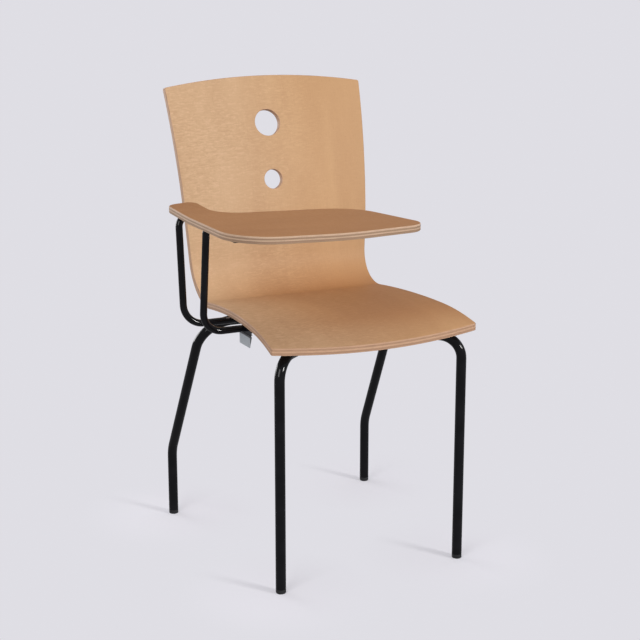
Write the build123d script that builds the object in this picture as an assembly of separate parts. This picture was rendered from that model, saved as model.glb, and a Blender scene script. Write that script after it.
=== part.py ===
from build123d import *
import math
import os

# Student desk chair: a moulded plywood shell on four bent steel legs, with a fixed
# plywood writing tablet carried on two steel rods at the sitter's right hand.
#
# Millimetres, +Z up. The sitter faces -Y, so the tablet is on the -X side.
# The chair itself is symmetric about its centre plane. Everything is drawn about that
# plane and moved at the end, so that the origin lies on the floor under the middle of
# the whole object's bounding box.

# ---- where the drawing's zero lies in the part's frame ----
origin_shift_x = 39.4
origin_shift_y = 35.0

# ---- leg tubes ----
tube_diameter = 18.0
tube_wall = 1.5
glide_height = 8.0
glide_stem = 18.0
glide_rounding = 2.2
frame_height = 419.3
front_foot_x = 177.1
front_foot_y = -197.0
rear_foot_x = 212.8
rear_foot_y = 238.7
kink_height = 132.8
rear_top_x = 202.3
rear_top_y = 90.7
crossing_y = -57.0
crossing_corner_x = 4.3
rear_turn_x = 90.0
front_bend_radius = 40.0
rear_bend_radius = 60.0
crossing_bend_radius = 40.0
rear_turn_radius = 40.0
kink_bend_radius = 60.0

# ---- moulded shell, as the upper face of the sheet seen from the side ----
shell_thickness = 12.0
front_corner_y = -208.6
front_corner_height = 444.4
front_slope = 15.2
waterfall_radius = 458.0
waterfall_turn = 13.0
seat_radius = 1390.0
seat_turn = 9.0
bend_radius = 67.7
bend_turn = 93.8
back_radius = 1012.0
back_turn = 18.55
front_extra_turn = 5.0
back_extra_turn = 2.5

# ---- shell outline ----
front_edge_y = -211.0
front_half_width = 198.0
front_bow = 23.0
knee_half_width = 188.6
knee_y = -90.0
thigh_half_width = 180.8
thigh_y = 30.0
waist_half_width = 179.6
waist_y = 95.0
join_y = 150.0
join_half_width = 180.0
bend_top_half_width = 183.7
mid_back_half_width = 193.5
top_half_width = 203.1
top_crown = 16.9
corner_radius = 4.0

# ---- holes in the back ----
hole_line_x = -5.4
upper_hole_diameter = 51.0
upper_hole_distance = 252.3
lower_hole_diameter = 37.0
lower_hole_distance = 143.5

# ---- tablet ----
tablet_thickness = 12.0
tablet_underside = 643.0
tablet_edge_radius = 1.6

# ---- tablet rods ----
rod_diameter = 12.5
rod_run_height = 443.5
rod_lower_bend = 36.0
rod_end_x = -172.0
front_rod_x = -259.7
front_rod_y = -61.7
front_rod_lean = -0.131
front_rod_upper_bend = 13.0
front_stub_end_x = -222.0
rear_rod_x = -269.0
rear_rod_y = 3.4
rear_rod_lean = 0.088
rear_rod_upper_bend = 18.0
rear_stub_end_x = -239.5

# ---- tablet plate, the steel strip between rods and tablet ----
tablet_plate_thickness = 3.0
tablet_plate_front_left = -287.0
tablet_plate_rear_left = -283.0
tablet_plate_right = -244.0
tablet_plate_rear = 23.0
tablet_plate_front = -275.0
tablet_plate_rear_corner = 16.0
tablet_plate_front_corner = 3.0
tablet_screw_places = [(-264, -8), (-264, -62), (-264, -150), (-272, -255)]

# ---- rod carrier, the bar under the seat's side ----
carrier_thickness = 10.0
carrier_outer_x = -188.0
carrier_recess_x = -162.0
carrier_inner_x = -142.0
carrier_front = -84.0
carrier_nose_rear = -70.0
carrier_nose_tip = -105.0
carrier_rear = 24.0
carrier_screw_x = -152.0
carrier_screw_ys = [-74.0, -29.0, 12.0]

# ---- blank rating label hung under the carrier ----
label_thickness = 0.8
label_flange = 7.0
label_rear = -55.0
label_flange_rear = -72.0
label_flange_front = -94.0
label_front = -107.5
label_corner_height = 438.0
label_corner_cut = 8.5
label_bottom = 417.0
label_rivet_ys = [-77.0, -88.0]
rivet_diameter = 3.0
rivet_length = 4.0
rivet_head = 4.8
rivet_head_height = 1.0

# ---- seat fixing at the middle of the frame ----
mounting_plate_thickness = 4.0
mounting_plate_size = 124.0
mounting_plate_corner = 20.0
spacer_diameter = 118.0
seat_screw_reach = 46.0

# ---- M6 screws and the insert nuts they drive into ----
screw_diameter = 6.0
screw_head_diameter = 12.0
screw_head_height = 3.6
clearance_hole = 6.6
spot_diameter = 13.0
spot_depth = 0.6
insert_diameter = 8.0
insert_length = 9.0
insert_recess = 0.5

# ---- wood screws under the tablet ----
wood_screw_diameter = 4.0
wood_screw_length = 10.0
wood_screw_head = 9.0
wood_screw_head_height = 2.4

# ---- seat pads clipped on the frame ----
pad_length = 32.0
pad_width = 24.0
front_pad_x = 138.0
rear_pad_x = 127.0

# ---- sizes of the tools that cut, larger than anything they cut ----
cutter = 60.0
wide_cutter = 300.0

tube_radius = tube_diameter / 2
rod_radius = rod_diameter / 2
frame_top = frame_height + tube_radius


def section_start(offset):
    """Front end of the sheet's side view, moved below its upper face by offset."""
    slope = math.radians(front_slope + front_extra_turn)
    lead = math.radians(front_extra_turn)
    chord = 2 * waterfall_radius * math.sin(lead / 2)
    mean = math.radians(front_slope + front_extra_turn / 2)
    y = front_corner_y - chord * math.cos(mean)
    z = front_corner_height - chord * math.sin(mean)
    return (y + offset * math.sin(slope), z - offset * math.cos(slope))


def sheet_line(offset):
    """The sheet's side view as tangent arcs, offset below or behind its upper face."""
    turns = [
        (waterfall_radius - offset, -(waterfall_turn + front_extra_turn)),
        (seat_radius - offset, -seat_turn),
        (bend_radius + offset, bend_turn),
        (back_radius - offset, -(back_turn + back_extra_turn)),
    ]
    slope = math.radians(front_slope + front_extra_turn)
    point = section_start(offset)
    direction = (math.cos(slope), math.sin(slope))
    arcs = []
    for radius, turn in turns:
        arc = JernArc(start=point, tangent=direction, radius=radius, arc_size=turn)
        arcs.append(arc)
        point = arc @ 1
        direction = arc % 1
    return arcs


def sheet_band(upper, lower, left, right):
    """A layer that follows the sheet, between two offsets and two X planes."""
    top = sheet_line(upper)
    bottom = sheet_line(lower)
    front = Line(top[0] @ 0, bottom[0] @ 0)
    rear = Line(top[-1] @ 1, bottom[-1] @ 1)
    face = make_face(top + bottom + [front, rear])
    return Pos(left, 0, 0) * extrude(Plane.YZ * face, right - left)


def below_sheet(offset):
    """Everything under the seat part of the sheet, down past the frame."""
    line = sheet_line(offset)[:2]
    first = line[0] @ 0
    last = line[-1] @ 1
    floor = frame_height - cutter
    sides = [
        Line((first.X, first.Y), (first.X, floor)),
        Line((first.X, floor), (last.X, floor)),
        Line((last.X, floor), (last.X, last.Y)),
    ]
    face = make_face(line + sides)
    return extrude(Plane.YZ * face, wide_cutter, both=True)


def tube(path, radius, wall=0.0):
    """A round bar, or a hollow tube when it has a wall, along a path."""
    section = Circle(radius)
    if wall:
        section -= Circle(radius - wall)
    return sweep(Plane(path @ 0, z_dir=path % 0) * section, path)


def mirrored(solid):
    return mirror(solid, about=Plane.YZ)


# ---- shell ----
back_arc = sheet_line(0)[-1]
back_start = back_arc @ 0
back_slope = front_slope - waterfall_turn - seat_turn + bend_turn
back_chord_slope = math.radians(back_slope - back_turn / 2)
back_length = 2 * back_radius * math.sin(math.radians(back_turn / 2))
bend_depth = 58.0
back_plane = Plane(
    origin=(0, back_start.X, back_start.Y),
    x_dir=(1, 0, 0),
    z_dir=(0, -math.sin(back_chord_slope), math.cos(back_chord_slope)),
)


def seat_outline():
    """Plan of the seat: a bowed front edge and sides that draw in to the waist."""
    right = Spline(
        (front_half_width, front_edge_y),
        (knee_half_width, knee_y),
        (thigh_half_width, thigh_y),
        (waist_half_width, waist_y),
        (join_half_width, join_y),
    )
    left = mirror(right, about=Plane.YZ)
    front = ThreePointArc(left @ 0, (0, front_edge_y - front_bow), right @ 0)
    rear = Line(left @ 1, right @ 1)
    outline = make_face([front, right, rear, left])
    corners = outline.vertices().sort_by(Axis.Y)[:2]
    return fillet(corners, corner_radius)


def back_outline():
    """Face view of the back: sides that open upwards and a crowned top edge."""
    right = Spline(
        (join_half_width, -2 * bend_depth),
        (join_half_width, -bend_depth),
        (bend_top_half_width, 0.0),
        (mid_back_half_width, back_length / 2),
        (top_half_width, back_length),
    )
    left = mirror(right, about=Plane.YZ)
    top = ThreePointArc(left @ 1, (0, back_length + top_crown), right @ 1)
    foot = Line(left @ 0, right @ 0)
    outline = make_face([foot, right, top, left])
    corners = outline.vertices().sort_by(Axis.Y)[-2:]
    return fillet(corners, corner_radius)


def back_hole(distance, diameter):
    """A round hole square to the sheet, at a distance up the sheet from the bend."""
    share = distance / back_arc.length
    middle = back_arc @ share
    along = back_arc % share
    place = Plane(
        origin=(hole_line_x, middle.X, middle.Y),
        x_dir=(1, 0, 0),
        z_dir=(0, -along.Y, along.X),
    )
    return extrude(place * Circle(diameter / 2), cutter, both=True)


def seat_screw_places():
    across = [(side * seat_screw_reach, crossing_y) for side in (1, -1)]
    along = [(0, crossing_y + side * seat_screw_reach) for side in (1, -1)]
    return across + along


def carrier_screw_places():
    return [(carrier_screw_x, y) for y in carrier_screw_ys]


def sheet_height(y, offset=0.0):
    """Height of the seat sheet, offset below its upper face, at a place along the seat."""
    probe = Line((y, front_corner_height - cutter), (y, front_corner_height + cutter))
    for arc in sheet_line(offset)[:3]:
        hits = arc.intersect(probe)
        points = [hit for hit in (hits or []) if isinstance(hit, (Vertex, Vector))]
        if points:
            return points[0].Y
    raise ValueError("the seat does not reach that place")


def make_shell():
    sheet = sheet_band(0, shell_thickness, -wide_cutter, wide_cutter)
    seat_prism = extrude(Pos(0, 0, frame_height) * seat_outline(), wide_cutter, both=True)
    back_prism = extrude(back_plane * back_outline(), wide_cutter, both=True)
    half = 2 * wide_cutter
    behind_join = Pos(0, join_y + half / 2, frame_height) * Box(half, half, 2 * half)
    before_join = Pos(0, join_y - half / 2, frame_height) * Box(half, half, 2 * half)
    seat = (sheet & before_join) & seat_prism
    back = (sheet & behind_join) & back_prism
    shell = seat + back
    shell -= back_hole(upper_hole_distance, upper_hole_diameter)
    shell -= back_hole(lower_hole_distance, lower_hole_diameter)
    return shell


def bore_from_below(solid, places, diameter, depth, offset):
    """Blind holes bored upwards into a layer of the seat from its underside."""
    for x, y in places:
        mouth = sheet_height(y, offset)
        solid -= Pos(x, y, mouth) * Cylinder(diameter / 2, 2 * depth)
    return solid


def make_bored_shell():
    places = seat_screw_places() + carrier_screw_places()
    return bore_from_below(make_shell(), places, insert_diameter, insert_length, shell_thickness)


def make_inserts(places):
    """Threaded brass sleeves pressed into the shell from below."""
    length = insert_length - insert_recess
    sleeve = Cylinder(insert_diameter / 2, length) - Cylinder(screw_diameter / 2, length)
    middle = shell_thickness - insert_recess - length / 2
    return [Pos(x, y, sheet_height(y, middle)) * sleeve for x, y in places]


def pan_screw(length, diameter, head, head_height):
    """A screw pointing up, with its head under Z=0 and a hexagon socket."""
    cap = Pos(0, 0, -head_height / 2) * Cylinder(head / 2, head_height)
    cap = fillet(cap.edges().group_by(Axis.Z)[0], head_height / 3)
    socket = Pos(0, 0, -head_height) * extrude(RegularPolygon(head / 5, 6), head_height / 2)
    shank = Pos(0, 0, length / 2) * Cylinder(diameter / 2, length)
    shank = chamfer(shank.edges().group_by(Axis.Z)[-1], diameter / 7)
    return (cap - socket) + shank


def make_seat_screws(places, seat_heights):
    """Screws that stand on the given heights and end inside the shell's inserts."""
    screws = []
    for (x, y), bottom in zip(places, seat_heights):
        tip = sheet_height(y, shell_thickness) + insert_length - 1
        screw = pan_screw(tip - bottom, screw_diameter, screw_head_diameter, screw_head_height)
        screws.append(Pos(x, y, bottom) * screw)
    return screws


# ---- frame ----
front_top = (-front_foot_x, front_foot_y, frame_height)
crossing_corner = (crossing_corner_x, crossing_y, frame_height)
rear_turn = (-rear_turn_x, rear_top_y, frame_height)
rear_top = (-rear_top_x, rear_top_y, frame_height)


def leg_path():
    """Left leg tube: front foot, in to the middle under the seat, back, and out to the rear foot."""
    points = [
        (-front_foot_x, front_foot_y, glide_height),
        front_top,
        crossing_corner,
        rear_turn,
        rear_top,
        (-rear_foot_x, rear_foot_y, kink_height),
        (-rear_foot_x, rear_foot_y, glide_height),
    ]
    radii = [
        front_bend_radius,
        crossing_bend_radius,
        rear_turn_radius,
        rear_bend_radius,
        kink_bend_radius,
    ]
    return FilletPolyline(*points, radius=radii)


def make_glide(x, y):
    """Plastic foot with a stem that plugs the end of a leg tube."""
    foot = Pos(0, 0, glide_height / 2) * Cylinder(tube_radius, glide_height)
    foot = fillet(foot.edges().group_by(Axis.Z)[0], glide_rounding)
    stem_radius = tube_radius - tube_wall
    stem = Pos(0, 0, glide_height + glide_stem / 2) * Cylinder(stem_radius, glide_stem)
    return Pos(x, y, 0) * (foot + stem)


def make_pad(x, run_start, run_end):
    """Saddle block on a leg tube's level run, shaped to the seat above it."""
    run_x = run_end[0] - run_start[0]
    run_y = run_end[1] - run_start[1]
    y = run_start[1] + (x - run_start[0]) * run_y / run_x
    heading = math.degrees(math.atan2(run_y, run_x))
    place = Pos(x, y, frame_height) * Rot(0, 0, heading)
    block = place * Pos(0, 0, cutter / 2) * Box(pad_length, pad_width, cutter)
    groove = place * Rot(0, 90, 0) * Cylinder(tube_radius, 2 * pad_length)
    return (block - groove) & below_sheet(shell_thickness)


def make_mounting_plate():
    outline = RectangleRounded(mounting_plate_size, mounting_plate_size, mounting_plate_corner)
    plate = Pos(0, crossing_y, frame_top) * extrude(outline, mounting_plate_thickness)
    for x, y in seat_screw_places():
        plate -= Pos(x, y, frame_top) * Cylinder(clearance_hole / 2, cutter)
    return plate


def make_spacer():
    """Round block between the mounting plate and the shell, shaped to the shell."""
    bottom = frame_top + mounting_plate_thickness
    disc = Pos(0, crossing_y, bottom) * extrude(Circle(spacer_diameter / 2), cutter)
    disc = disc & below_sheet(shell_thickness)
    for x, y in seat_screw_places():
        disc -= Pos(x, y, bottom) * Cylinder(clearance_hole / 2, 2 * cutter)
    return disc


# ---- tablet rods and their carrier ----
carrier_face = shell_thickness + carrier_thickness
label_rivet_x = carrier_outer_x + label_flange / 2


def carrier_spot_height(y):
    return sheet_height(y, carrier_face) + spot_depth


def rivet_holes():
    hole = Cylinder(rivet_diameter / 2, 2 * rivet_length)
    return [Pos(label_rivet_x, y, sheet_height(y, carrier_face)) * hole for y in label_rivet_ys]


def carrier_outline():
    """Plan of the bar: a nose that holds the label, a recess, and a seat for each rod's end."""
    rod_seats_rear = rear_rod_y - 2.5 * rod_radius
    front_seat_rear = front_rod_y + 1.5 * rod_radius
    corners = [
        (rod_end_x, carrier_rear),
        (rod_end_x, rod_seats_rear),
        (carrier_recess_x, rod_seats_rear - rod_radius),
        (carrier_recess_x, front_seat_rear + rod_radius),
        (rod_end_x, front_seat_rear),
        (rod_end_x, carrier_nose_rear),
        (carrier_outer_x, carrier_nose_rear),
        (carrier_outer_x, carrier_nose_tip),
        (carrier_outer_x + carrier_thickness, carrier_front),
        (carrier_inner_x, carrier_front),
        (carrier_inner_x, carrier_rear),
    ]
    return make_face(Polyline(*corners, close=True))


def make_carrier():
    """Steel bar bent to the underside of the seat, with spot faces for three screws."""
    bar = sheet_band(shell_thickness, carrier_face, carrier_outer_x, carrier_inner_x)
    bar = bar & extrude(Pos(0, 0, rod_run_height) * carrier_outline(), cutter, both=True)
    for x, y in carrier_screw_places():
        spot = Pos(x, y, carrier_spot_height(y) - cutter / 2)
        bar -= Pos(x, y, rod_run_height) * Cylinder(clearance_hole / 2, cutter)
        bar -= spot * Cylinder(spot_diameter / 2, cutter)
    return bar - rivet_holes()


def make_rod(x, y, lean, upper_bend, stub_end_x):
    """C-shaped bar: out from the carrier, up beside the seat, then in under the tablet.

    Its lower end is dressed flat where it passes under the shell.
    """
    top = tablet_underside - tablet_plate_thickness - rod_radius
    top_y = y + lean * (top - rod_run_height)
    points = [
        (rod_end_x, y, rod_run_height),
        (x, y, rod_run_height),
        (x, top_y, top),
        (stub_end_x, top_y, top),
    ]
    rod = tube(FilletPolyline(*points, radius=[rod_lower_bend, upper_bend]), rod_radius)
    flat_start_x = carrier_outer_x - rod_radius / 2
    return rod - sheet_band(0, shell_thickness, flat_start_x, rod_end_x + rod_radius)


# ---- blank label under the carrier ----
def make_label():
    """Thin folded plate: a flange against the carrier and a blank face hanging down."""
    outer_x = carrier_outer_x - label_thickness
    fold = carrier_face + label_thickness
    length = label_flange_rear - label_flange_front
    middle_y = (label_flange_rear + label_flange_front) / 2
    flange = sheet_band(carrier_face, fold, outer_x, carrier_outer_x + label_flange)
    flange = flange & (Pos(outer_x, middle_y, rod_run_height) * Box(cutter, length, cutter))
    top = rod_run_height + rod_radius
    outline = Polyline(
        (label_rear, top),
        (label_front, top),
        (label_front, label_corner_height),
        (label_front + label_corner_cut, label_bottom),
        (label_rear, label_bottom),
        close=True,
    )
    sheet = Pos(outer_x, 0, 0) * extrude(Plane.YZ * make_face(outline), label_thickness)
    notch = Pos(carrier_outer_x, front_rod_y, rod_run_height) * Rot(0, -90, 0)
    notch_cutter = notch * extrude(Circle(rod_radius + 0.5), cutter)
    face = (sheet & below_sheet(carrier_face)) - notch_cutter
    return (flange + face) - rivet_holes()


def make_label_rivets():
    head = Cylinder(rivet_head / 2, rivet_head_height, align=(Align.CENTER, Align.CENTER, Align.MAX))
    shank = Cylinder(rivet_diameter / 2, rivet_length, align=(Align.CENTER, Align.CENTER, Align.MIN))
    rivet = head + shank
    under = carrier_face + label_thickness
    return [Pos(label_rivet_x, y, sheet_height(y, under) - 0.1) * rivet for y in label_rivet_ys]


# ---- tablet ----
def tablet_face():
    """Plan of the tablet: a narrow arm on the left that opens into a writing surface."""
    corners = [
        ((-289.0, 24.0), 28.0),
        ((-232.5, 41.5), 15.0),
        ((-243.0, -95.0), 54.0),
        ((-9.0, -137.0), 85.0),
        ((31.0, -330.0), 33.0),
        ((-122.5, -348.0), 300.0),
        ((-301.0, -319.0), 90.0),
        ((-299.0, -103.0), 400.0),
    ]
    points = [point for point, radius in corners]
    radii = [radius for point, radius in corners]
    return make_face(FilletPolyline(*points, radius=radii, close=True))


def make_tablet():
    board = Pos(0, 0, tablet_underside) * extrude(tablet_face(), tablet_thickness)
    top_and_bottom = board.edges().group_by(Axis.Z)[0] + board.edges().group_by(Axis.Z)[-1]
    board = fillet(top_and_bottom, tablet_edge_radius)
    pilot = Cylinder(wood_screw_diameter / 2, 2 * wood_screw_length)
    return board - [Pos(x, y, tablet_underside) * pilot for x, y in tablet_screw_places]


def make_tablet_plate():
    bottom = tablet_underside - tablet_plate_thickness
    corners = [
        (tablet_plate_rear_left, tablet_plate_rear),
        (tablet_plate_right, tablet_plate_rear),
        (tablet_plate_right, tablet_plate_front),
        (tablet_plate_front_left, tablet_plate_front),
    ]
    rear, front = tablet_plate_rear_corner, tablet_plate_front_corner
    outline = make_face(FilletPolyline(*corners, radius=[rear, rear, front, front], close=True))
    strip = Pos(0, 0, bottom) * extrude(outline, tablet_plate_thickness)
    hole = Cylinder(wood_screw_diameter / 2, cutter)
    return strip - [Pos(x, y, bottom) * hole for x, y in tablet_screw_places]


def make_tablet_screws():
    bottom = tablet_underside - tablet_plate_thickness
    length = wood_screw_length + tablet_plate_thickness - 0.5
    screw = pan_screw(length, wood_screw_diameter, wood_screw_head, wood_screw_head_height)
    return [Pos(x, y, bottom) * screw for x, y in tablet_screw_places]


# ---- the whole chair ----
def make_nodes():
    left_leg = tube(leg_path(), tube_radius, tube_wall)
    front_pad = make_pad(-front_pad_x, front_top, crossing_corner)
    rear_pad = make_pad(-rear_pad_x, rear_top, rear_turn)
    front_rod = make_rod(
        front_rod_x, front_rod_y, front_rod_lean, front_rod_upper_bend, front_stub_end_x
    )
    rear_rod = make_rod(
        rear_rod_x, rear_rod_y, rear_rod_lean, rear_rod_upper_bend, rear_stub_end_x
    )
    plate_places = seat_screw_places()
    bar_places = carrier_screw_places()
    spot_heights = [carrier_spot_height(y) for y in carrier_screw_ys]
    return {
        "seat_shell": make_bored_shell(),
        "left_leg_tube": left_leg,
        "right_leg_tube": mirrored(left_leg),
        "front_left_glide": make_glide(-front_foot_x, front_foot_y),
        "front_right_glide": make_glide(front_foot_x, front_foot_y),
        "rear_left_glide": make_glide(-rear_foot_x, rear_foot_y),
        "rear_right_glide": make_glide(rear_foot_x, rear_foot_y),
        "seat_mounting_plate": make_mounting_plate(),
        "seat_spacer": make_spacer(),
        "seat_screws": make_seat_screws(plate_places, [frame_top] * 4),
        "seat_insert_nuts": make_inserts(plate_places),
        "front_left_pad": front_pad,
        "front_right_pad": mirrored(front_pad),
        "rear_left_pad": rear_pad,
        "rear_right_pad": mirrored(rear_pad),
        "tablet_carrier_bar": make_carrier(),
        "carrier_screws": make_seat_screws(bar_places, spot_heights),
        "carrier_insert_nuts": make_inserts(bar_places),
        "front_tablet_rod": front_rod,
        "rear_tablet_rod": rear_rod,
        "tablet_plate": make_tablet_plate(),
        "tablet_screws": make_tablet_screws(),
        "tablet": make_tablet(),
        "label_plate": make_label(),
        "label_rivets": make_label_rivets(),
    }


place_in_frame = Pos(origin_shift_x, origin_shift_y, 0)
os.makedirs("parts", exist_ok=True)
for name, shape in make_nodes().items():
    solids = shape if isinstance(shape, list) else shape.solids()
    node = Compound(children=[place_in_frame * solid for solid in solids], label=name)
    export_step(node, f"parts/{name}.step")
    print(name, len(node.solids()), "solids,", round(node.volume / 1000, 2), "cm3")
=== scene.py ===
import math

import bpy
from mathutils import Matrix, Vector, geometry


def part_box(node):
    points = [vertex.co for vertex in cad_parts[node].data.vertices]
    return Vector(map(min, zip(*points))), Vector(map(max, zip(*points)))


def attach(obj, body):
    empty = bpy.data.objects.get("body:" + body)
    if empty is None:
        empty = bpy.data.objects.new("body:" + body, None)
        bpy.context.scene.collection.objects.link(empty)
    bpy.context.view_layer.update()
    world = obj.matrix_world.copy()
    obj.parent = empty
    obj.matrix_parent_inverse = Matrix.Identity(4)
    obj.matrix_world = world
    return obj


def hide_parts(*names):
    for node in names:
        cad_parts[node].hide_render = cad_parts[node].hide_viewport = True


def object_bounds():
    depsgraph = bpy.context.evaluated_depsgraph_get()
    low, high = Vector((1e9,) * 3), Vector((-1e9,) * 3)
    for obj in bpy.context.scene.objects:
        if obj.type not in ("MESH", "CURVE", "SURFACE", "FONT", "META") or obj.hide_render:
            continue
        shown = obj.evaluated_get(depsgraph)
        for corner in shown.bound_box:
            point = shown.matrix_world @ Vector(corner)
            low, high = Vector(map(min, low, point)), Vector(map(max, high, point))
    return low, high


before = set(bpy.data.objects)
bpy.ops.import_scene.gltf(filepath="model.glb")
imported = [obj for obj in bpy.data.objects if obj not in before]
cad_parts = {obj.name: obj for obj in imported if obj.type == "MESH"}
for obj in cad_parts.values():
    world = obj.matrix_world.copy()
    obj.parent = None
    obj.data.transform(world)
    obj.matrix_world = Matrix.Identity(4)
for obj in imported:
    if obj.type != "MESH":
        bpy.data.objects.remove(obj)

CAD_LOW, CAD_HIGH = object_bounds()

# ======== sizes, in metres and degrees ========
# The shell repeats the arcs and the outline of the CAD part. Its profile is the sitting
# face seen from the side, and s is the distance along it. It starts just behind the bowed
# front edge, which therefore lies at a negative s.
SHEET = 0.012
FRONT_Y, FRONT_Z, FRONT_SLOPE = -0.2086, 0.4444, 15.2
ARCS = [(0.458, -13.0), (1.390, -9.0), (0.0677, 93.8), (1.012, -18.55)]  # radius, turn
SEAT_SIDE = [  # y, half width
    (-0.211, 0.198), (-0.090, 0.1886), (0.030, 0.1808), (0.095, 0.1796), (0.150, 0.180)]
BACK_SIDE = [  # rise up the back's chord, half width
    (-0.116, 0.180), (-0.058, 0.180), (0.0, 0.1837), (0.1631, 0.1935), (0.3262, 0.2031)]
FRONT_BOW, TOP_CROWN = 0.023, 0.0169
JOIN_Y, JOIN_SLOPE = 0.150, 60.0  # past either, the outline is the back's
CUT_EASE_SEAT, CUT_EASE_BACK = 0.10, 0.06  # lengths over which the edge's cut turns
CORNER = 0.004  # radius of the outline's corners
EDGE_ROUND = 0.0011  # radius of the arrises
HOLE_X = -0.0054
HOLES = [(0.2523, 0.0255), (0.1435, 0.0185)]  # distance up the back, radius
TABLET_TOP = 0.655

# The density of the shell's mesh.
SOLVE_STEPS = 12
ACROSS_STEPS, ALONG_STEPS = 44, 150
CORNER_STEPS, ROUND_STEPS, HOLE_STEPS = 5, 4, 72
CORNER_CLEAR = 1.3  # corner radii within which a corner's arc replaces the outline's points
EDGE_RINGS = (0.3, 0.5, 0.7)  # shares of the sheet's thickness
ROW_START, ROW_STOP = -0.03, 0.02
ROW_STEP, BEND_ROW_STEP, BEND_MARGIN = 0.010, 0.0028, 0.004
ROW_POINTS, ROW_STAGGER = 18, 0.25
INNER_CLEAR = 0.003
WELD = 1e-7

# Veneers in a sheet's edge, from the top face down: thickness, and paleness from 0 to 1.
PLIES = [(0.0020, 0.75), (0.0024, 0.15), (0.0030, 1.0), (0.0026, 0.10), (0.0020, 0.7)]
TABLET_PLIES = [(0.0030, 1.0), (0.0023, 0.10), (0.0024, 0.95), (0.0026, 0.05), (0.0017, 0.5)]
GLUE_LINE = 0.00015
PLY_WANDER = 0.0006

# ======== colours ========
PALE = (0.655, 0.430, 0.252, 1.0)
MID = (0.590, 0.374, 0.214, 1.0)
DEEP = (0.36, 0.190, 0.090, 1.0)
# Painted highlight: the colour of the pale glints painted on the ripple.
PAINTED_GLINT = (0.80, 0.56, 0.36, 1.0)
# Painted shade over the seat, and a painted sheen that leaves -X paler than +X.
SEAT_PAINTED_SHADE = (0.87, 0.71, 0.58, 1.0)
PAINTED_SHEEN_TINT = (0.96, 0.88, 0.77, 1.0)
EDGE_PALE = (0.66, 0.415, 0.265, 1.0)
EDGE_DARK = (0.46, 0.265, 0.165, 1.0)
TABLET_PALE = (0.500, 0.246, 0.110, 1.0)
TABLET_MID = (0.436, 0.205, 0.089, 1.0)
TABLET_EDGE_PALE = (0.66, 0.46, 0.320, 1.0)
TABLET_EDGE_DARK = (0.37, 0.235, 0.150, 1.0)
ENAMEL_LOW, ENAMEL_HIGH = (0.004, 0.004, 0.005, 1.0), (0.008, 0.008, 0.010, 1.0)
PLASTIC_LOW, PLASTIC_HIGH = (0.010, 0.010, 0.011, 1.0), (0.018, 0.018, 0.020, 1.0)
ZINC_LOW, ZINC_HIGH = (0.55, 0.55, 0.54, 1.0), (0.68, 0.67, 0.63, 1.0)
ZINC_ROUGH = (0.25, 0.42)
BRASS_LOW, BRASS_HIGH = (0.62, 0.46, 0.22, 1.0), (0.74, 0.56, 0.30, 1.0)
BRASS_ROUGH = (0.22, 0.38)
FILM_LOW, FILM_HIGH = (0.38, 0.41, 0.44, 1.0), (0.50, 0.53, 0.55, 1.0)
FILM_BORDER = (0.04, 0.04, 0.045, 1.0)
BORDER_FRONT, BORDER_TOP = (0.0050, 0.0058), (0.0034, 0.0040)  # where its fade starts and ends

# ======== figure ========
# Noise scales per metre: across the grain, along it and through the sheet.
BANDS, PATCHES = (10.0, 1.5, 4.0), (6.0, 4.0, 6.0)
RIPPLE, GRAIN, FLECKS = (75.0, 300.0, 60.0), (900.0, 24.0, 300.0), (1300.0, 170.0, 500.0)
# Noise scales per metre along x, y and z, or across, along and through the shell's sheet.
WANDER, FIBRES, SMEARS = (18.0, 18.0, 0.0), (700.0, 700.0, 2600.0), (60.0, 60.0, 500.0)
SCRATCHES, CLOUDS = (300.0, 300.0, 40.0), (300.0, 300.0, 900.0)
# How strongly each kind of figure shows, and the painted glint on the ripple, from 0 to 1.
STROKE_SHARE, PAINTED_GLINT_SHARE, GRAIN_SHARE, FLECK_SHARE = 0.26, 0.21, 0.13, 0.30
FIBRE_SHARE, SMEAR_SHARE = 0.35, 0.22
TABLET_FIGURE = 0.35
# Places across the grain or along it between which the ripple, the seat's painted shade and
# the painted sheen fade.
RIPPLE_FADE, PAINTED_SHEEN_FADE = (0.20, -0.10), (-0.12, 0.12)
PAINTED_SHADE_FRONT, PAINTED_SHADE_BACK, PAINTED_SHADE_SIDE = (-0.02, 0.09), (0.33, 0.45), (-0.20, -0.03)
WOOD_ROUGH, EDGE_ROUGH = (0.52, 0.62), 0.55
WOOD_SPECULAR, TABLET_SPECULAR = 0.22, 0.12

# ======== stage ========
FLOOR_SIZE = 60.0
FLOOR_TONE = (0.739, 0.731, 0.778)
FLOOR_MATT = 0.60  # how much light a matt patch returns
FLOOR_LIT = 0.72  # how brightly the lamps light it
MATT_INNER, MATT_OUTER = 0.02, 0.20
WALL_RADIUS, WALL_HEIGHT, WALL_SIDES, WALL_FOOT = 50.0, 60.0, 64, -0.01
WORLD_COLOUR, WORLD_STRENGTH = (0.95, 0.945, 1.0, 1.0), 0.35
LAMPS = [  # name, place, width, height, power, colour
    ("key", (2.60, -4.10, 1.90), 0.8, 0.8, 137.0, (1.0, 0.99, 0.97)),
    ("fill", (-2.7, -2.1, 2.0), 1.8, 1.8, 50.0, (1.0, 1.0, 1.0)),
    ("rear", (-1.6, 3.2, 0.8), 2.0, 1.2, 40.0, (1.0, 1.0, 1.0)),
    ("top", (-0.3, 0.2, 3.4), 2.4, 2.4, 14.0, (1.0, 1.0, 1.0)),
]
CAMERA_PLACE = (-1.1024, -2.3046, 1.0738)
CAMERA_BACK = (-0.4237, -0.8729, 0.2421)
CAMERA_LENS, CAMERA_SENSOR, CAMERA_REACH = 82.3, 36.0, 500.0


# ======== node helpers ========
def link(tree, source, target):
    tree.links.new(source, target)


def calc(tree, operation, a, b=0.0, clamp=False):
    made = tree.nodes.new("ShaderNodeMath")
    made.operation = operation
    made.use_clamp = clamp
    for slot, value in zip(made.inputs, (a, b)):
        if isinstance(value, (int, float)):
            slot.default_value = value
        else:
            link(tree, value, slot)
    return made.outputs[0]


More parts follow.
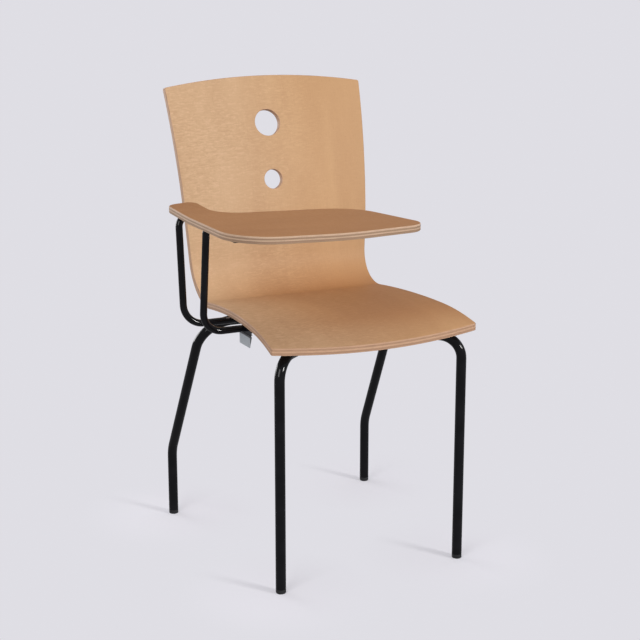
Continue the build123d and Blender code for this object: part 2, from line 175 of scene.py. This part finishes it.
def remap(tree, value, low, high, to_low=0.0, to_high=1.0, smooth=False):
    made = tree.nodes.new("ShaderNodeMapRange")
    made.interpolation_type = "SMOOTHSTEP" if smooth else "LINEAR"
    link(tree, value, made.inputs["Value"])
    made.inputs["From Min"].default_value = low
    made.inputs["From Max"].default_value = high
    made.inputs["To Min"].default_value = to_low
    made.inputs["To Max"].default_value = to_high
    return made.outputs["Result"]


def mix(tree, factor, a, b, blend="MIX"):
    made = tree.nodes.new("ShaderNodeMix")
    made.data_type = "RGBA"
    made.blend_type = blend
    colours = [s for s in made.inputs if s.type == "RGBA"]
    for slot, value in ((made.inputs[0], factor), (colours[0], a), (colours[1], b)):
        if isinstance(value, (tuple, int, float)):
            slot.default_value = value
        else:
            link(tree, value, slot)
    return [o for o in made.outputs if o.type == "RGBA"][0]


def scaled(tree, vector, scales):
    made = tree.nodes.new("ShaderNodeMapping")
    made.inputs["Scale"].default_value = scales
    link(tree, vector, made.inputs["Vector"])
    return made.outputs["Vector"]


def noise(tree, vector, scale=1.0, detail=2.0, rough=0.5, distort=0.0):
    made = tree.nodes.new("ShaderNodeTexNoise")
    made.inputs["Scale"].default_value = scale
    made.inputs["Detail"].default_value = detail
    made.inputs["Roughness"].default_value = rough
    made.inputs["Distortion"].default_value = distort
    link(tree, vector, made.inputs["Vector"])
    return made.outputs["Fac"]


def parts_of(tree, vector):
    """The x, y and z sockets of a vector."""
    made = tree.nodes.new("ShaderNodeSeparateXYZ")
    link(tree, vector, made.inputs[0])
    return made.outputs


def new_material(name):
    made = bpy.data.materials.new(name)
    made.use_nodes = True
    return made, made.node_tree, made.node_tree.nodes["Principled BSDF"]


def bump(tree, shader, height, strength, distance):
    made = tree.nodes.new("ShaderNodeBump")
    made.inputs["Strength"].default_value = strength
    made.inputs["Distance"].default_value = distance
    link(tree, height, made.inputs["Height"])
    link(tree, made.outputs["Normal"], shader.inputs["Normal"])


def sheet_place(tree):
    """Place in the flat sheet: across, along the profile, and depth from the sitting face."""
    made = tree.nodes.new("ShaderNodeAttribute")
    made.attribute_name = "sheet"
    return made.outputs["Vector"]


def object_place(tree):
    return tree.nodes.new("ShaderNodeTexCoord").outputs["Object"]


# ======== wood ========
def veneer(name, place, pale, mid, turned=False, figure=1.0, painted_light=False):
    """Clear-lacquered beech: soft bands, cross ripple on one side with painted glints, fine
    pores and flecks.

    The grain runs along the place's second axis, or along its first if turned. Returns
    the material with its tree, shader and colour, so that an edge can be added.
    """
    made, tree, shader = new_material(name)
    where = place(tree)
    if turned:
        turn = tree.nodes.new("ShaderNodeMapping")
        turn.inputs["Rotation"].default_value = (0, 0, math.radians(90))
        link(tree, where, turn.inputs["Vector"])
        where = turn.outputs["Vector"]
    across, along, _ = parts_of(tree, where)
    bands = noise(tree, scaled(tree, where, BANDS), detail=3.0, distort=0.3)
    ripple = noise(tree, scaled(tree, where, RIPPLE), rough=0.55, distort=1.1)
    patches = noise(tree, scaled(tree, where, PATCHES), detail=1.0)
    grain = noise(tree, scaled(tree, where, GRAIN), rough=0.7)
    flecks = noise(tree, scaled(tree, where, FLECKS), detail=0.0)
    colour = mix(tree, remap(tree, bands, 0.32, 0.68, smooth=True), mid, pale)
    # The ripple fades towards +X. Its deep strokes come in patches; its pale strokes are
    # painted glints, and don't.
    side = remap(tree, across, *RIPPLE_FADE, 0.15 * figure, figure, smooth=True)
    patchy = calc(tree, "MULTIPLY", remap(tree, ripple, 0.40, 0.66),
                  remap(tree, patches, 0.30, 0.60))
    stroke = calc(tree, "MULTIPLY", patchy, side)
    colour = mix(tree, calc(tree, "MULTIPLY", stroke, STROKE_SHARE), colour, DEEP)
    # Painted highlight: pale glints painted on the ripple's light strokes.
    painted_glint = calc(tree, "MULTIPLY", remap(tree, ripple, 0.48, 0.30, smooth=True), side)
    colour = mix(tree, calc(tree, "MULTIPLY", painted_glint, PAINTED_GLINT_SHARE), colour, PAINTED_GLINT)
    colour = mix(tree, remap(tree, grain, 0.45, 0.78, 0.0, GRAIN_SHARE), colour, DEEP)
    colour = mix(tree, remap(tree, flecks, 0.70, 0.82, 0.0, FLECK_SHARE), colour, DEEP)
    # Painted shade over the seat and painted sheen across it.
    if painted_light:
        colour = paint_seat_shade_and_sheen(tree, across, along, colour)
    link(tree, colour, shader.inputs["Base Color"])
    link(tree, remap(tree, ripple, 0.3, 0.7, *WOOD_ROUGH), shader.inputs["Roughness"])
    shader.inputs["Specular IOR Level"].default_value = WOOD_SPECULAR
    pores = calc(tree, "ADD", grain, calc(tree, "MULTIPLY", flecks, 0.6))
    bump(tree, shader, pores, 0.08, 0.0002)
    return made, tree, shader, colour


def paint_seat_shade_and_sheen(tree, across, along, colour):
    """Painted shade over the seat but not its front edge or -X side, and painted sheen, paler
    towards -X, deeper and warmer towards +X.
    """
    before_back = remap(tree, along, *PAINTED_SHADE_BACK, 1.0, 0.0, smooth=True)
    behind_front = remap(tree, along, *PAINTED_SHADE_FRONT, 0.35, 1.0, smooth=True)
    inside = remap(tree, across, *PAINTED_SHADE_SIDE, 0.15, 1.0, smooth=True)
    amount = calc(tree, "MULTIPLY", before_back, behind_front)
    amount = calc(tree, "MULTIPLY", amount, inside)
    colour = mix(tree, amount, colour, SEAT_PAINTED_SHADE, "MULTIPLY")
    # Painted sheen: -X stays pale, +X is deepened and warmed.
    sheen_falloff = remap(tree, across, *PAINTED_SHEEN_FADE, smooth=True)
    return mix(tree, sheen_falloff, colour, PAINTED_SHEEN_TINT, "MULTIPLY")


def ply_colour(tree, where, depth, layers, pale, dark):
    """Layered edge: long-grain and end-grain veneers with thin glue lines between them.

    Returns the colour and the fibres, which also serve as its bump.
    """
    wander = noise(tree, scaled(tree, where, WANDER))
    offset = calc(tree, "MULTIPLY", calc(tree, "SUBTRACT", wander, 0.5), PLY_WANDER)
    tone = tree.nodes.new("ShaderNodeValToRGB")
    ramp = tone.color_ramp
    ramp.interpolation = "CONSTANT"
    glue = tuple(0.6 * c for c in dark[:3]) + (1.0,)
    stops = []
    start = 0.0
    for thick, paleness in layers:
        shade = tuple(d + (p - d) * paleness for p, d in zip(pale[:3], dark[:3])) + (1.0,)
        stops.append((start / SHEET, shade))
        stops.append(((start + thick - GLUE_LINE) / SHEET, glue))
        start += thick
    stops = stops[:-1]
    while len(ramp.elements) < len(stops):
        ramp.elements.new(1.0)
    for element, (at, shade) in zip(ramp.elements, stops):
        element.position = at
        element.color = shade
    reach = calc(tree, "DIVIDE", calc(tree, "ADD", depth, offset), SHEET, clamp=True)
    link(tree, reach, tone.inputs["Fac"])
    fibres = noise(tree, scaled(tree, where, FIBRES), detail=3.0, rough=0.7)
    smears = noise(tree, scaled(tree, where, SMEARS))
    fibred = remap(tree, fibres, 0.40, 0.75, 0.0, FIBRE_SHARE)
    colour = mix(tree, fibred, tone.outputs["Color"], glue)
    smeared = remap(tree, smears, 0.45, 0.75, 0.0, SMEAR_SHARE)
    return mix(tree, smeared, colour, glue), fibres


def shell_edge(name):
    made, tree, shader = new_material(name)
    where = sheet_place(tree)
    depth = parts_of(tree, where)[2]
    colour, fibres = ply_colour(tree, where, depth, PLIES, EDGE_PALE, EDGE_DARK)
    link(tree, colour, shader.inputs["Base Color"])
    shader.inputs["Roughness"].default_value = EDGE_ROUGH
    shader.inputs["Specular IOR Level"].default_value = WOOD_SPECULAR
    bump(tree, shader, fibres, 0.18, 0.0003)
    return made


def tablet_material(name):
    """Veneer on the flat faces, and the layered edge wherever the surface turns upright."""
    made, tree, shader, face = veneer(name, object_place, TABLET_PALE, TABLET_MID,
                                      turned=True, figure=TABLET_FIGURE)
    where = object_place(tree)
    depth = calc(tree, "SUBTRACT", TABLET_TOP, parts_of(tree, where)[2])
    edge, _ = ply_colour(tree, where, depth, TABLET_PLIES, TABLET_EDGE_PALE, TABLET_EDGE_DARK)
    surface_node = tree.nodes.new("ShaderNodeNewGeometry")
    lean = parts_of(tree, surface_node.outputs["Normal"])[2]
    upright = remap(tree, calc(tree, "ABSOLUTE", lean), 0.90, 0.97, 1.0, 0.0)
    link(tree, mix(tree, upright, face, edge), shader.inputs["Base Color"])
    shader.inputs["Specular IOR Level"].default_value = TABLET_SPECULAR
    return made


# ======== metal and plastic ========
def enamel(name):
    """Gloss black enamel with a faint orange-peel skin."""
    made, tree, shader = new_material(name)
    where = object_place(tree)
    skin = noise(tree, where, scale=420.0)
    dust = noise(tree, where, scale=35.0, detail=3.0)
    colour = mix(tree, remap(tree, dust, 0.4, 0.8), ENAMEL_LOW, ENAMEL_HIGH)
    link(tree, colour, shader.inputs["Base Color"])
    link(tree, remap(tree, dust, 0.3, 0.8, 0.12, 0.22), shader.inputs["Roughness"])
    shader.inputs["Specular IOR Level"].default_value = 0.05
    shader.inputs["Coat Weight"].default_value = 0.38
    shader.inputs["Coat Roughness"].default_value = 0.06
    bump(tree, shader, skin, 0.03, 0.0002)
    return made


def plastic(name, low, high):
    made, tree, shader = new_material(name)
    where = object_place(tree)
    pebble = noise(tree, where, scale=1600.0, detail=1.0)
    cloud = noise(tree, where, scale=60.0, detail=3.0)
    colour = mix(tree, remap(tree, cloud, 0.35, 0.7), low, high)
    link(tree, colour, shader.inputs["Base Color"])
    shader.inputs["Roughness"].default_value = 0.48
    bump(tree, shader, pebble, 0.15, 0.0002)
    return made


def metal(name, low, high, low_rough, high_rough):
    made, tree, shader = new_material(name)
    where = object_place(tree)
    scratches = noise(tree, scaled(tree, where, SCRATCHES), detail=3.0, rough=0.65)
    cloud = noise(tree, where, scale=90.0)
    colour = mix(tree, remap(tree, cloud, 0.35, 0.7), low, high)
    link(tree, colour, shader.inputs["Base Color"])
    shader.inputs["Metallic"].default_value = 1.0
    rough = remap(tree, scratches, 0.3, 0.7, low_rough, high_rough)
    link(tree, rough, shader.inputs["Roughness"])
    bump(tree, shader, scratches, 0.06, 0.0001)
    return made


def label_finish(name):
    """Pale silvery film with a dark border along its front and top edges."""
    made, tree, shader = new_material(name)
    where = object_place(tree)
    low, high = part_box("label_plate")
    _, y, z = parts_of(tree, where)
    front = remap(tree, y, low[1] + BORDER_FRONT[0], low[1] + BORDER_FRONT[1], 1.0, 0.0)
    top = remap(tree, z, high[2] - BORDER_TOP[1], high[2] - BORDER_TOP[0], 0.0, 1.0)
    cloud = noise(tree, scaled(tree, where, CLOUDS), detail=3.0)
    film = mix(tree, remap(tree, cloud, 0.35, 0.7), FILM_LOW, FILM_HIGH)
    colour = mix(tree, calc(tree, "MAXIMUM", front, top), film, FILM_BORDER)
    link(tree, colour, shader.inputs["Base Color"])
    link(tree, remap(tree, cloud, 0.3, 0.7, 0.35, 0.5), shader.inputs["Roughness"])
    shader.inputs["Metallic"].default_value = 0.10
    return made


# ======== the shell's profile and outline ========
def arc_points():
    """The sitting face seen from the side, and its length.

    Each arc is its start along the profile, centre, radius, start heading and side, which
    is 1 where it turns upwards and -1 where it turns downwards.
    """
    arcs = []
    point = Vector((FRONT_Y, FRONT_Z))
    heading = math.radians(FRONT_SLOPE)
    length = 0.0
    for radius, turn_degrees in ARCS:
        turn = math.radians(turn_degrees)
        side = 1.0 if turn > 0 else -1.0
        centre = point + side * radius * Vector((-math.sin(heading), math.cos(heading)))
        arcs.append((length, centre, radius, heading, side))
        length += radius * abs(turn)
        heading += turn
        point = centre + side * radius * Vector((math.sin(heading), -math.cos(heading)))
    return arcs, length


PROFILE, PROFILE_LENGTH = arc_points()
BEND_START, BACK_START = PROFILE[2][0], PROFILE[3][0]


def on_profile(s):
    """Point (y, z) and heading of the sitting face at s. It runs on past both ends."""
    for start, centre, radius, heading, side in reversed(PROFILE):
        if s >= start or start == 0.0:
            angle = heading + side * (s - start) / radius
            point = centre + side * radius * Vector((math.sin(angle), -math.cos(angle)))
            return point, angle
    raise ValueError("the profile has no arcs")


BACK_ORIGIN = on_profile(BACK_START)[0]
BACK_TIP = on_profile(PROFILE_LENGTH)[0]
BACK_CHORD = math.atan2(BACK_TIP.y - BACK_ORIGIN.y, BACK_TIP.x - BACK_ORIGIN.x)
CHORD = Vector((math.cos(BACK_CHORD), math.sin(BACK_CHORD)))


def spline_through(points):
    """Natural cubic through (place, width) pairs, as a function."""
    n = len(points)
    xs = [p[0] for p in points]
    ys = [p[1] for p in points]
    h = [xs[i + 1] - xs[i] for i in range(n - 1)]
    low, diag, up, rhs = [0.0] * n, [1.0] * n, [0.0] * n, [0.0] * n
    for i in range(1, n - 1):
        low[i], diag[i], up[i] = h[i - 1], 2 * (h[i - 1] + h[i]), h[i]
        rhs[i] = 6 * ((ys[i + 1] - ys[i]) / h[i] - (ys[i] - ys[i - 1]) / h[i - 1])
    for i in range(1, n):
        k = low[i] / diag[i - 1]
        diag[i] -= k * up[i - 1]
        rhs[i] -= k * rhs[i - 1]
    bend = [0.0] * n
    bend[-1] = rhs[-1] / diag[-1]
    for i in range(n - 2, -1, -1):
        bend[i] = (rhs[i] - up[i] * bend[i + 1]) / diag[i]

    def value(x):
        i = min(max(sum(1 for k in xs if k <= x) - 1, 0), n - 2)
        a, b = xs[i + 1] - x, x - xs[i]
        cubic = (bend[i] * a ** 3 + bend[i + 1] * b ** 3) / (6 * h[i])
        before = (ys[i] / h[i] - bend[i] * h[i] / 6) * a
        after = (ys[i + 1] / h[i] - bend[i + 1] * h[i] / 6) * b
        return cubic + before + after

    return value


seat_width = spline_through(SEAT_SIDE)
back_width = spline_through(BACK_SIDE)


def rise(point):
    """Height of a profile point up the back's chord."""
    return (point - BACK_ORIGIN).dot(CHORD)


def half_width(s):
    point, angle = on_profile(s)
    if point.x < JOIN_Y and angle < math.radians(JOIN_SLOPE):
        return seat_width(point.x)
    return back_width(rise(point))


def bowed(width, bow, x):
    """Height of an arc of that half width and bow, at a place across it."""
    radius = (width ** 2 + bow ** 2) / (2 * bow)
    return math.sqrt(max(radius ** 2 - x ** 2, 0.0)) - (radius - bow)


def front_place(x):
    """Distance along the profile where the bowed front edge lies, at a place across."""
    target = SEAT_SIDE[0][0] - bowed(SEAT_SIDE[0][1], FRONT_BOW, x)
    s = target - FRONT_Y
    for _ in range(SOLVE_STEPS):
        point, angle = on_profile(s)
        s += (target - point.x) / math.cos(angle)
    return s


def top_place(x):
    """Distance along the profile where the crowned top edge lies, at a place across."""
    target = BACK_SIDE[-1][0] + bowed(BACK_SIDE[-1][1], TOP_CROWN, x)
    s = PROFILE_LENGTH
    for _ in range(SOLVE_STEPS):
        point, angle = on_profile(s)
        s += (target - rise(point)) / math.cos(angle - BACK_CHORD)
    return s


def eased(distance, reach):
    """From 0 to 1, smoothly, over that reach."""
    t = min(max(distance / reach, 0.0), 1.0)
    return t * t * (3 - 2 * t)


def cut_direction(s):
    """Directions of the cut edge through the sheet, and of the sheet's thickness.

    The edge is cut upright in the seat, square to the chord in the back, and square to
    the sheet in the bend between them.
    """
    normal = on_profile(s)[1] - math.pi / 2
    if s < BEND_START:
        share, target = eased(BEND_START - s, CUT_EASE_SEAT), -math.pi / 2
    elif s > BACK_START:
        share, target = eased(s - BACK_START, CUT_EASE_BACK), BACK_CHORD - math.pi / 2
    else:
        return normal, normal
    return normal + (target - normal) * share, normal


def surface(x, s, depth, bore=None):
    """Point of the sheet at a place across, along and through it, before the shift."""
    point, _ = on_profile(s)
    direction, normal = cut_direction(s)
    if bore is not None:
        direction = bore
    reach = depth / math.cos(direction - normal)
    y = point.x + reach * math.cos(direction)
    z = point.y + reach * math.sin(direction)
    return Vector((x, y, z))


def rounded_corner(loop, index):
    """Points that replace one corner of a loop by an arc."""
    here = loop[index]
    before = (loop[index - 1] - here).normalized()
    after = (loop[(index + 1) % len(loop)] - here).normalized()
    half = math.acos(max(-1.0, min(1.0, before.dot(after)))) / 2
    reach = CORNER / math.tan(half)
    centre = here + (before + after).normalized() * CORNER / math.sin(half)
    first, last = here + before * reach, here + after * reach
    start = math.atan2(*(first - centre).yx)
    end = math.atan2(*(last - centre).yx)
    turn = (end - start + math.pi) % (2 * math.pi) - math.pi
    points = []
    for k in range(CORNER_STEPS + 1):
        angle = start + turn * k / CORNER_STEPS
        points.append(centre + CORNER * Vector((math.cos(angle), math.sin(angle))))
    return points


def shell_outline():
    """Outer loop in the flat sheet, anticlockwise from the front edge's -X corner."""
    front_s = front_place(SEAT_SIDE[0][1])
    top_s = top_place(BACK_SIDE[-1][1])
    front_half, top_half = half_width(front_s), half_width(top_s)
    shares = [2 * k / ACROSS_STEPS - 1 for k in range(1, ACROSS_STEPS)]
    front = [Vector((front_half * f, front_place(front_half * f))) for f in shares]
    top = [Vector((-top_half * f, top_place(-top_half * f))) for f in shares]
    right = []
    for k in range(1, ALONG_STEPS):
        s = front_s + (top_s - front_s) * k / ALONG_STEPS
        right.append(Vector((half_width(s), s)))
    left = [Vector((-p.x, p.y)) for p in reversed(right)]
    corners = [Vector((-front_half, front_s)), Vector((front_half, front_s)),
               Vector((top_half, top_s)), Vector((-top_half, top_s))]
    points = []
    for corner, run in zip(corners, (front, right, top, left)):
        points.append(corner)
        points += run
    finished = []
    for i, p in enumerate(points):
        nearest = min((p - c).length for c in corners)
        if nearest == 0.0:
            finished += rounded_corner(points, i)
        elif nearest > CORNER * CORNER_CLEAR:
            finished.append(p)
    return finished


def hole_outline(distance, radius):
    """A round hole cut square to the back where it lies, in the flat sheet, clockwise."""
    middle, slope = on_profile(BACK_START + distance)
    along = Vector((math.cos(slope), math.sin(slope)))
    loop = []
    for k in range(HOLE_STEPS):
        angle = -2 * math.pi * k / HOLE_STEPS
        target = radius * math.sin(angle)
        s = BACK_START + distance + target
        for _ in range(SOLVE_STEPS):
            point, heading = on_profile(s)
            s += (target - (point - middle).dot(along)) / math.cos(heading - slope)
        loop.append(Vector((HOLE_X + radius * math.cos(angle), s)))
    return loop


def bore_direction(distance):
    """Direction of a hole's axis, from the sitting face to the rear face."""
    return on_profile(BACK_START + distance)[1] - math.pi / 2


def inset(loop, distance):
    """The loop moved towards the sheet's material, which lies on its left."""
    moved = []
    for i, p in enumerate(loop):
        along = (loop[(i + 1) % len(loop)] - loop[i - 1]).normalized()
        moved.append(p + Vector((-along.y, along.x)) * distance)
    return moved


# ======== the shell's mesh ========
def edge_rings():
    """Inset and depth of each ring of points round an edge, with rounded arrises."""
    arris = []
    for k in range(ROUND_STEPS + 1):
        a = math.pi / 2 * k / ROUND_STEPS
        arris.append((EDGE_ROUND * (1 - math.sin(a)), EDGE_ROUND * (1 - math.cos(a))))
    flat = [(0.0, SHEET * share) for share in EDGE_RINGS]
    return arris + flat + [(i, SHEET - depth) for i, depth in reversed(arris)]


def sheet_rows():
    """Distances along the profile for the rows of inner points, closest in the bend."""
    rows = []
    s = ROW_START
    while s < PROFILE_LENGTH + ROW_STOP:
        rows.append(s)
        inside_bend = BEND_START - BEND_MARGIN < s < BACK_START + BEND_MARGIN
        s += BEND_ROW_STEP if inside_bend else ROW_STEP
    return rows


def inner_points(hole_loops):
    """Staggered points of the flat sheet, clear of its outline and of its holes."""
    middles = [sum(loop, Vector((0, 0))) / len(loop) for loop in hole_loops]
    points = []
    for row, s in enumerate(sheet_rows()):
        if s < front_place(0.0) or s > top_place(0.0):
            continue
        width = half_width(s)
        stagger = ROW_STAGGER if row % 2 else -ROW_STAGGER
        for k in range(-ROW_POINTS, ROW_POINTS + 1):
            x = (k + stagger) * width / ROW_POINTS
            if abs(x) > width - INNER_CLEAR:
                continue
            if s < front_place(x) + INNER_CLEAR or s > top_place(x) - INNER_CLEAR:
                continue
            p = Vector((x, s))
            in_hole = any((p - middle).length < radius + INNER_CLEAR
                          for middle, (_, radius) in zip(middles, HOLES))
            if not in_hole:
                points.append(p)
    return points


def build_shell():
    """The sheet's points, faces, material slots and places in the flat sheet.

    Each loop, the outline or a hole, gets rings of points through the thickness. The two
    wide faces are one triangulation of the flat sheet, set at both depths and sewn to the
    loops' first and last rings.
    """
    loops = [shell_outline()] + [hole_outline(at, radius) for at, radius in HOLES]
    bores = [None] + [bore_direction(at) for at, _ in HOLES]
    verts, faces, slots, places = [], [], [], []
    ring_sets = []
    for loop, bore in zip(loops, bores):
        rings = []
        for distance, depth in edge_rings():
            rings.append(range(len(verts), len(verts) + len(loop)))
            for p in inset(loop, distance):
                verts.append(surface(p.x, p.y, depth, bore))
                places.append((p.x, p.y, depth))
        ring_sets.append(rings)
        for upper, lower in zip(rings, rings[1:]):
            for i in range(len(loop)):
                j = (i + 1) % len(loop)
                faces.append((upper[i], lower[i], lower[j], upper[j]))
                slots.append(1)

    inner_loops = [inset(loop, EDGE_ROUND) for loop in loops]
    flat, edges, sources = [], [], []
    for number, loop in enumerate(inner_loops):
        start, n = len(flat), len(loop)
        edges += [(start + i, start + (i + 1) % n) for i in range(n)]
        sources += [(number, i) for i in range(n)]
        flat += loop
    flat += inner_points(inner_loops[1:])
    outer_face = list(range(len(inner_loops[0])))
    made = geometry.delaunay_2d_cdt(flat, edges, [outer_face], 1, WELD)
    out_points, out_faces, origins = made[0], made[2], made[3]
    for depth, ring_number in ((0.0, 0), (SHEET, -1)):
        index, owner = {}, {}
        for k, origin in enumerate(origins):
            on_loop = [i for i in origin if i < len(sources)]
            if on_loop:
                number, i = sources[on_loop[0]]
                index[k] = ring_sets[number][ring_number][i]
                owner[k] = number
            else:
                x, s = out_points[k]
                index[k] = len(verts)
                verts.append(surface(x, s, depth))
                places.append((x, s, depth))
        for face in out_faces:
            # A face with all its points on one hole's loop would cover that hole.
            owners = {owner.get(k, 0) for k in face}
            if len(owners) == 1 and owners != {0}:
                continue
            corners = [index[k] for k in face]
            faces.append(tuple(reversed(corners)) if ring_number else tuple(corners))
            slots.append(0)
    return verts, faces, slots, places


def shell_piece(face_material, edge_material):
    verts, faces, slots, places = build_shell()
    low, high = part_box("seat_shell")
    shift = Vector(((low[0] + high[0]) / 2, high[1] - max(v.y for v in verts),
                    high[2] - max(v.z for v in verts)))
    mesh = bpy.data.meshes.new("plywood_shell")
    mesh.from_pydata([v + shift for v in verts], [], faces)
    mesh.update()
    layer = mesh.attributes.new("sheet", "FLOAT_VECTOR", "POINT")
    for item, place in zip(layer.data, places):
        item.vector = place
    mesh.materials.append(face_material)
    mesh.materials.append(edge_material)
    for polygon, slot in zip(mesh.polygons, slots):
        polygon.material_index = slot
        polygon.use_smooth = True
    piece = bpy.data.objects.new("plywood_shell", mesh)
    bpy.context.scene.collection.objects.link(piece)
    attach(piece, "root")
    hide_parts("seat_shell")


# The seat's veneer carries painted shade and painted sheen.
shell_piece(veneer("seat_veneer", sheet_place, PALE, MID, painted_light=True)[0],
            shell_edge("seat_ply_edge"))

# ======== the CAD nodes that stay ========
FEET = ["front_left_glide", "front_right_glide", "rear_left_glide", "rear_right_glide"]
FINISHES = [
    (enamel("black_enamel"),
     ["left_leg_tube", "right_leg_tube", "seat_mounting_plate", "tablet_carrier_bar",
      "front_tablet_rod", "rear_tablet_rod", "tablet_plate"]),
    (plastic("black_plastic", PLASTIC_LOW, PLASTIC_HIGH),
     FEET + ["seat_spacer", "front_left_pad", "front_right_pad", "rear_left_pad",
             "rear_right_pad"]),
    (metal("zinc_steel", ZINC_LOW, ZINC_HIGH, *ZINC_ROUGH),
     ["seat_screws", "carrier_screws", "tablet_screws", "label_rivets"]),
    (metal("brass", BRASS_LOW, BRASS_HIGH, *BRASS_ROUGH),
     ["seat_insert_nuts", "carrier_insert_nuts"]),
    (label_finish("label_metal"), ["label_plate"]),
    (tablet_material("tablet_veneer"), ["tablet"]),
]
for finish, names in FINISHES:
    for name in names:
        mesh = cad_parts[name].data
        mesh.materials.clear()
        mesh.materials.append(finish)


# ======== the stage ========
def stage_piece(name, points, faces):
    """A stage object that glows in the floor's tone and sheds no light on the chair."""
    mesh = bpy.data.meshes.new(name)
    mesh.from_pydata(points, [], faces)
    made, tree, shader = new_material(name)
    shader.inputs["Base Color"].default_value = (0.0, 0.0, 0.0, 1.0)
    shader.inputs["Specular IOR Level"].default_value = 0.0
    shader.inputs["Emission Color"].default_value = FLOOR_TONE + (1.0,)
    shader.inputs["Emission Strength"].default_value = 1.0
    mesh.materials.append(made)
    piece = bpy.data.objects.new(name, mesh)
    bpy.context.scene.collection.objects.link(piece)
    piece.visible_diffuse = False
    piece.visible_glossy = False
    return piece, tree, shader


def floor():
    """A pale floor that glows evenly, with a matt patch round each foot for its shadow."""
    h = FLOOR_SIZE
    _, tree, shader = stage_piece("floor", [(-h, -h, 0), (h, -h, 0), (h, h, 0), (-h, h, 0)],
                                  [(0, 1, 2, 3)])
    where = object_place(tree)
    nearest = MATT_OUTER
    for foot in FEET:
        low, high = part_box(foot)
        far = tree.nodes.new("ShaderNodeVectorMath")
        far.operation = "DISTANCE"
        link(tree, where, far.inputs[0])
        far.inputs[1].default_value = ((low[0] + high[0]) / 2, (low[1] + high[1]) / 2, 0.0)
        nearest = calc(tree, "MINIMUM", far.outputs["Value"], nearest)
    share = remap(tree, nearest, MATT_INNER, MATT_OUTER, 1.0, 0.0, smooth=True)
    grey = FLOOR_TONE[1]
    matt = tuple(FLOOR_MATT * c / grey for c in FLOOR_TONE) + (1.0,)
    dimmed = tuple(c * (1 - FLOOR_MATT * FLOOR_LIT / grey) for c in FLOOR_TONE) + (1.0,)
    link(tree, mix(tree, share, (0.0, 0.0, 0.0, 1.0), matt), shader.inputs["Base Color"])
    link(tree, mix(tree, share, FLOOR_TONE + (1.0,), dimmed), shader.inputs["Emission Color"])
    shader.inputs["Roughness"].default_value = 1.0


def backdrop():
    """A far round wall, so that low views see one even background."""
    angles = [i * math.tau / WALL_SIDES for i in range(WALL_SIDES)]
    points = [(WALL_RADIUS * math.cos(a), WALL_RADIUS * math.sin(a), z)
              for z in (WALL_FOOT, WALL_HEIGHT) for a in angles]
    faces = []
    for i in range(WALL_SIDES):
        j = (i + 1) % WALL_SIDES
        faces.append((i, j, j + WALL_SIDES, i + WALL_SIDES))
    piece, _, _ = stage_piece("backdrop", points, faces)
    piece.visible_shadow = False


def area_light(name, where, width, height, power, colour):
    """A lamp aimed at the middle of the chair."""
    data = bpy.data.lights.new(name, "AREA")
    data.shape = "RECTANGLE"
    data.size, data.size_y = width, height
    data.energy = power
    data.color = colour
    lamp = bpy.data.objects.new(name, data)
    lamp.location = where
    aim = (CAD_LOW + CAD_HIGH) / 2 - Vector(where)
    lamp.rotation_mode = "QUATERNION"
    lamp.rotation_quaternion = aim.to_track_quat("-Z", "Y")
    bpy.context.scene.collection.objects.link(lamp)


def camera():
    data = bpy.data.cameras.new("camera")
    data.sensor_width = CAMERA_SENSOR
    data.lens = CAMERA_LENS
    data.clip_end = CAMERA_REACH
    made = bpy.data.objects.new("camera", data)
    made.location = CAMERA_PLACE
    made.rotation_mode = "QUATERNION"
    made.rotation_quaternion = (-Vector(CAMERA_BACK).normalized()).to_track_quat("-Z", "Y")
    bpy.context.scene.collection.objects.link(made)
    bpy.context.scene.camera = made


floor()
backdrop()
for lamp in LAMPS:
    area_light(*lamp)
camera()

world = bpy.data.worlds.new("studio")
world.use_nodes = True
world.node_tree.nodes["Background"].inputs["Color"].default_value = WORLD_COLOUR
world.node_tree.nodes["Background"].inputs["Strength"].default_value = WORLD_STRENGTH
bpy.context.scene.world = world
bpy.context.scene.view_settings.view_transform = "Standard"
